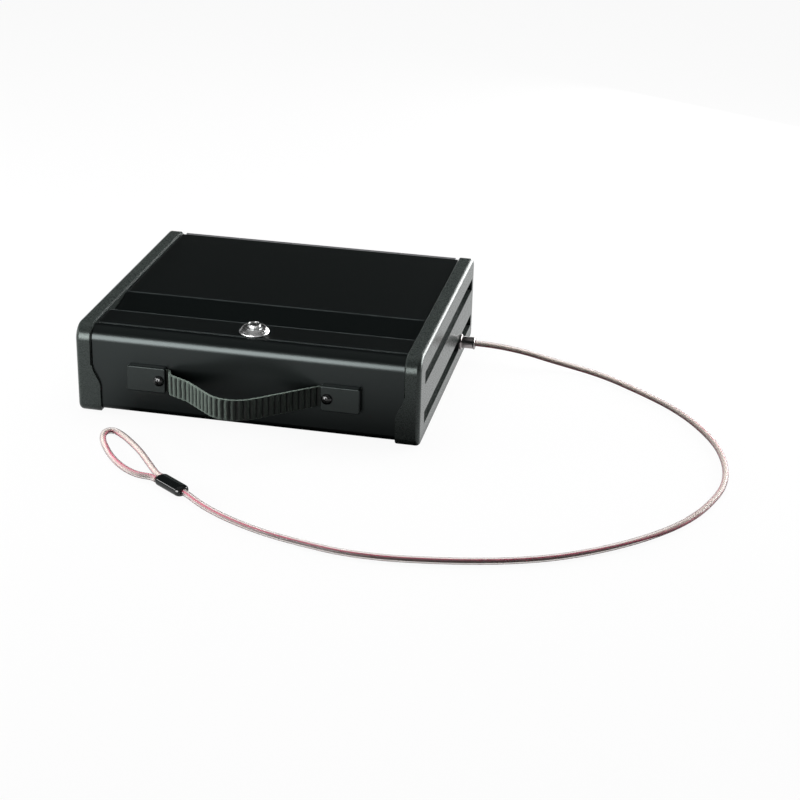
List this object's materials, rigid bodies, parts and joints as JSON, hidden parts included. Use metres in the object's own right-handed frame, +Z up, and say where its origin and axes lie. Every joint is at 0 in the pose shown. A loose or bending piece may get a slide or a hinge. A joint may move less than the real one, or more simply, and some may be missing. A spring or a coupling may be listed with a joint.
{
  "type": "portable car safe",
  "caption": "Flat steel lock box with moulded end caps, a hinged lid with a cam lock in its front strip, a webbing handle and a looped tethering cable.",
  "frame": {"origin": "on the floor, under the middle of the case with its webbing handle, measured without the cable and its fitting", "axes": "+Z up, -Y towards the front with the handle and the lock, +X towards the cap that the cable leaves"},
  "size_m": [0.4629, 0.3795, 0.0717],
  "materials": {
    "body_paint": "satin black powder coat",
    "cap_plastic": "matte dark grey, finely speckled",
    "cover_plastic": "satin black",
    "webbing": "ribbed black nylon webbing",
    "black_screw": "glossy black",
    "lock_chrome": "polished",
    "steel": "zinc plated",
    "wafer_brass": "plain",
    "foam": "matte charcoal foam",
    "cable_jacket": "clear vinyl over a steel rope, with a red thread",
    "ferrule_black": "glossy black"
  },
  "bodies": {
    "case": {"base_shell": "body_paint", "end_plate_left": "body_paint", "end_plate_right": "body_paint", "foam_mat": "foam", "end_cap_left": "cap_plastic", "end_cap_right": "cap_plastic", "cap_screw_left_front_low": "steel", "cap_screw_left_back_low": "steel", "cap_screw_left_front_high": "steel", "cap_screw_left_back_high": "steel", "cap_screw_right_front_low": "steel", "cap_screw_right_back_low": "steel", "cap_screw_right_front_high": "steel", "cap_screw_right_back_high": "steel", "hinge_leaf_body": "steel", "hinge_pin": "steel", "handle_strap": "webbing", "strap_cover_left": "cover_plastic", "strap_cover_right": "cover_plastic", "strap_screw_left": "black_screw", "strap_screw_right": "black_screw", "strap_nut_left": "steel", "strap_nut_right": "steel", "cable_fitting": "lock_chrome", "fitting_washer": "steel", "fitting_nut": "steel", "security_cable": "cable_jacket", "cable_ferrule": "ferrule_black", "cable_eye": "cable_jacket"},
    "lid": {"lid": "body_paint", "hinge_leaf_lid": "steel", "lock_housing": "lock_chrome", "lock_washer": "steel", "lock_nut": "steel"},
    "lock": {"lock_plug": "lock_chrome", "lock_cam": "steel", "cam_screw": "steel"},
    "wafer_1": {"lock_wafer_1": "wafer_brass"},
    "wafer_2": {"lock_wafer_2": "wafer_brass"},
    "wafer_3": {"lock_wafer_3": "wafer_brass"},
    "wafer_4": {"lock_wafer_4": "wafer_brass"}
  },
  "joints": [
    {"name": "lid_hinge", "type": "hinge", "parent": "case", "child": "lid", "pos_m": [0, 0.1247, 0.0624], "axis": [-1, 0, 0], "range_deg": [0, 110]},
    {"name": "lock_turn", "type": "hinge", "parent": "lid", "child": "lock", "pos_m": [0, -0.0645, 0.0624], "axis": [0, 0, -1], "range_deg": [0, 90]},
    {"name": "wafer_1_slide", "type": "slide", "parent": "lock", "child": "wafer_1", "axis": [0, -1, 0], "range_m": [0, 0.0005]},
    {"name": "wafer_2_slide", "type": "slide", "parent": "lock", "child": "wafer_2", "axis": [0, 1, 0], "range_m": [0, 0.0005]},
    {"name": "wafer_3_slide", "type": "slide", "parent": "lock", "child": "wafer_3", "axis": [0, -1, 0], "range_m": [0, 0.0005]},
    {"name": "wafer_4_slide", "type": "slide", "parent": "lock", "child": "wafer_4", "axis": [0, 1, 0], "range_m": [0, 0.0005]}
  ],
  "couplings": [
    {"joint": "wafer_2_slide", "follows": "wafer_1_slide", "ratio": 1},
    {"joint": "wafer_3_slide", "follows": "wafer_1_slide", "ratio": 1},
    {"joint": "wafer_4_slide", "follows": "wafer_1_slide", "ratio": 1}
  ]
}
